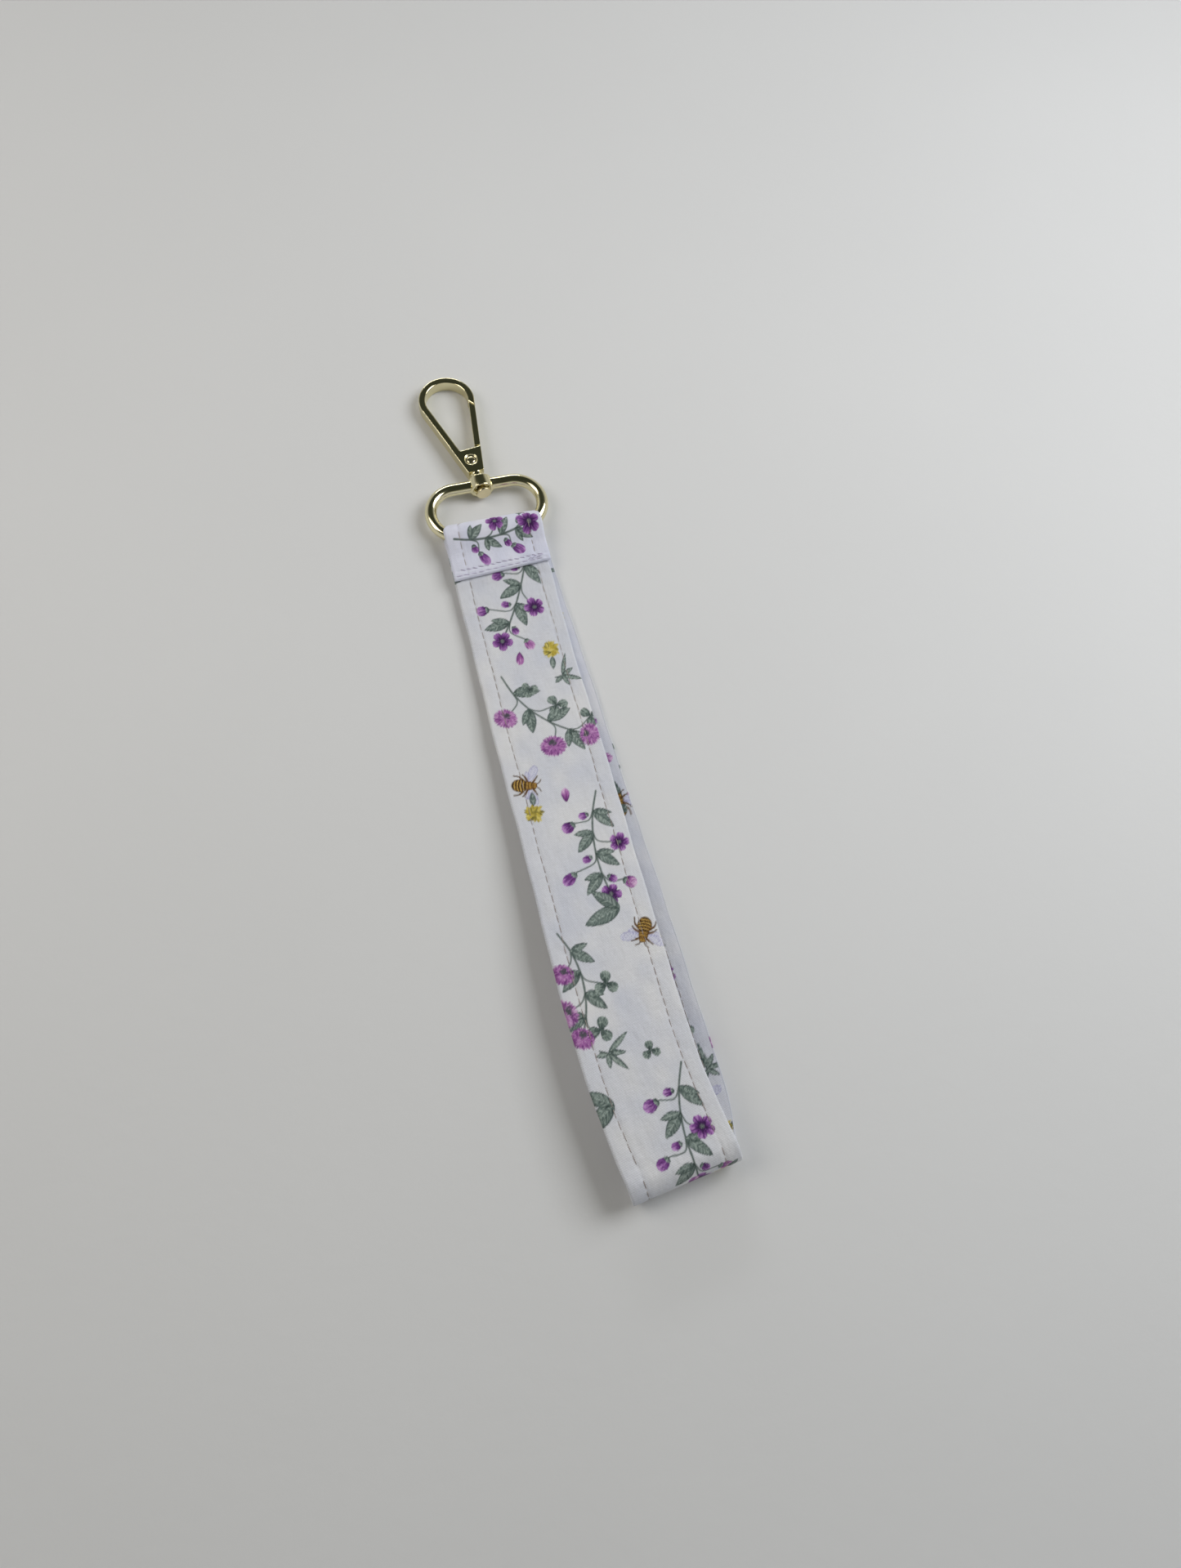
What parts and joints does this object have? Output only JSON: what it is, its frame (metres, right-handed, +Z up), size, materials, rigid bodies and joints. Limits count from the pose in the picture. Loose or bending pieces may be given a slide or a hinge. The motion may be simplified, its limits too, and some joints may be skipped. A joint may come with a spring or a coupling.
{
  "type": "wristlet keychain",
  "caption": "Printed cotton wrist strap folded round an oval ring, with a swivel snap hook and a sprung gate.",
  "frame": {"origin": "on the surface it lies on, under the middle of its outline", "axes": "+Z up, +Y along the strap towards the snap hook, +X to the right with the hemmed end on top"},
  "size_m": [0.0351, 0.2149, 0.0096],
  "materials": {
    "printed_cotton": "matt quilting cotton, off-white with a small botanical print",
    "interfacing": "matt non-woven",
    "edge_thread": "fine spun thread",
    "hem_thread": "fine spun thread",
    "pale_gold": "polished pale gold plating on a zinc casting",
    "spring_steel": "drawn wire"
  },
  "bodies": {
    "strap": {"front_run": "printed_cotton", "back_run": "printed_cotton", "wrist_fold": "printed_cotton", "ring_wrap": "printed_cotton", "hem_end": "printed_cotton", "interfacing": "interfacing", "edge_thread_left": "edge_thread", "edge_thread_right": "edge_thread", "hem_thread_upper": "hem_thread", "hem_thread_lower": "hem_thread", "backstitch": "hem_thread"},
    "ring": {"oval_ring": "pale_gold"},
    "hook": {"hook_body": "pale_gold", "swivel_rivet": "pale_gold", "gate_pin": "pale_gold", "gate_spring": "spring_steel"},
    "gate": {"gate": "pale_gold"}
  },
  "joints": [
    {"name": "ring_swing", "type": "hinge", "parent": "strap", "child": "ring", "pos_m": [-0.00145, 0.05857, 0.00305], "axis": [1, 0, 0], "range_deg": [-75, 75], "deforming": ["ring_wrap"]},
    {"name": "hook_swivel", "type": "hinge", "parent": "ring", "child": "hook", "pos_m": [-0.00145, 0.07257, 0.00305], "axis": [-0.1131, 0.9928, -0.04], "continuous": true},
    {"name": "gate_swing", "type": "hinge", "parent": "hook", "child": "gate", "pos_m": [-0.00239, 0.07991, 0.00275], "axis": [-0.0045, 0.0397, 0.9992], "range_deg": [0, 28], "stiffness_Nm_per_rad": 0.01, "springref_deg": -34.38, "deforming": ["gate_spring"]}
  ]
}
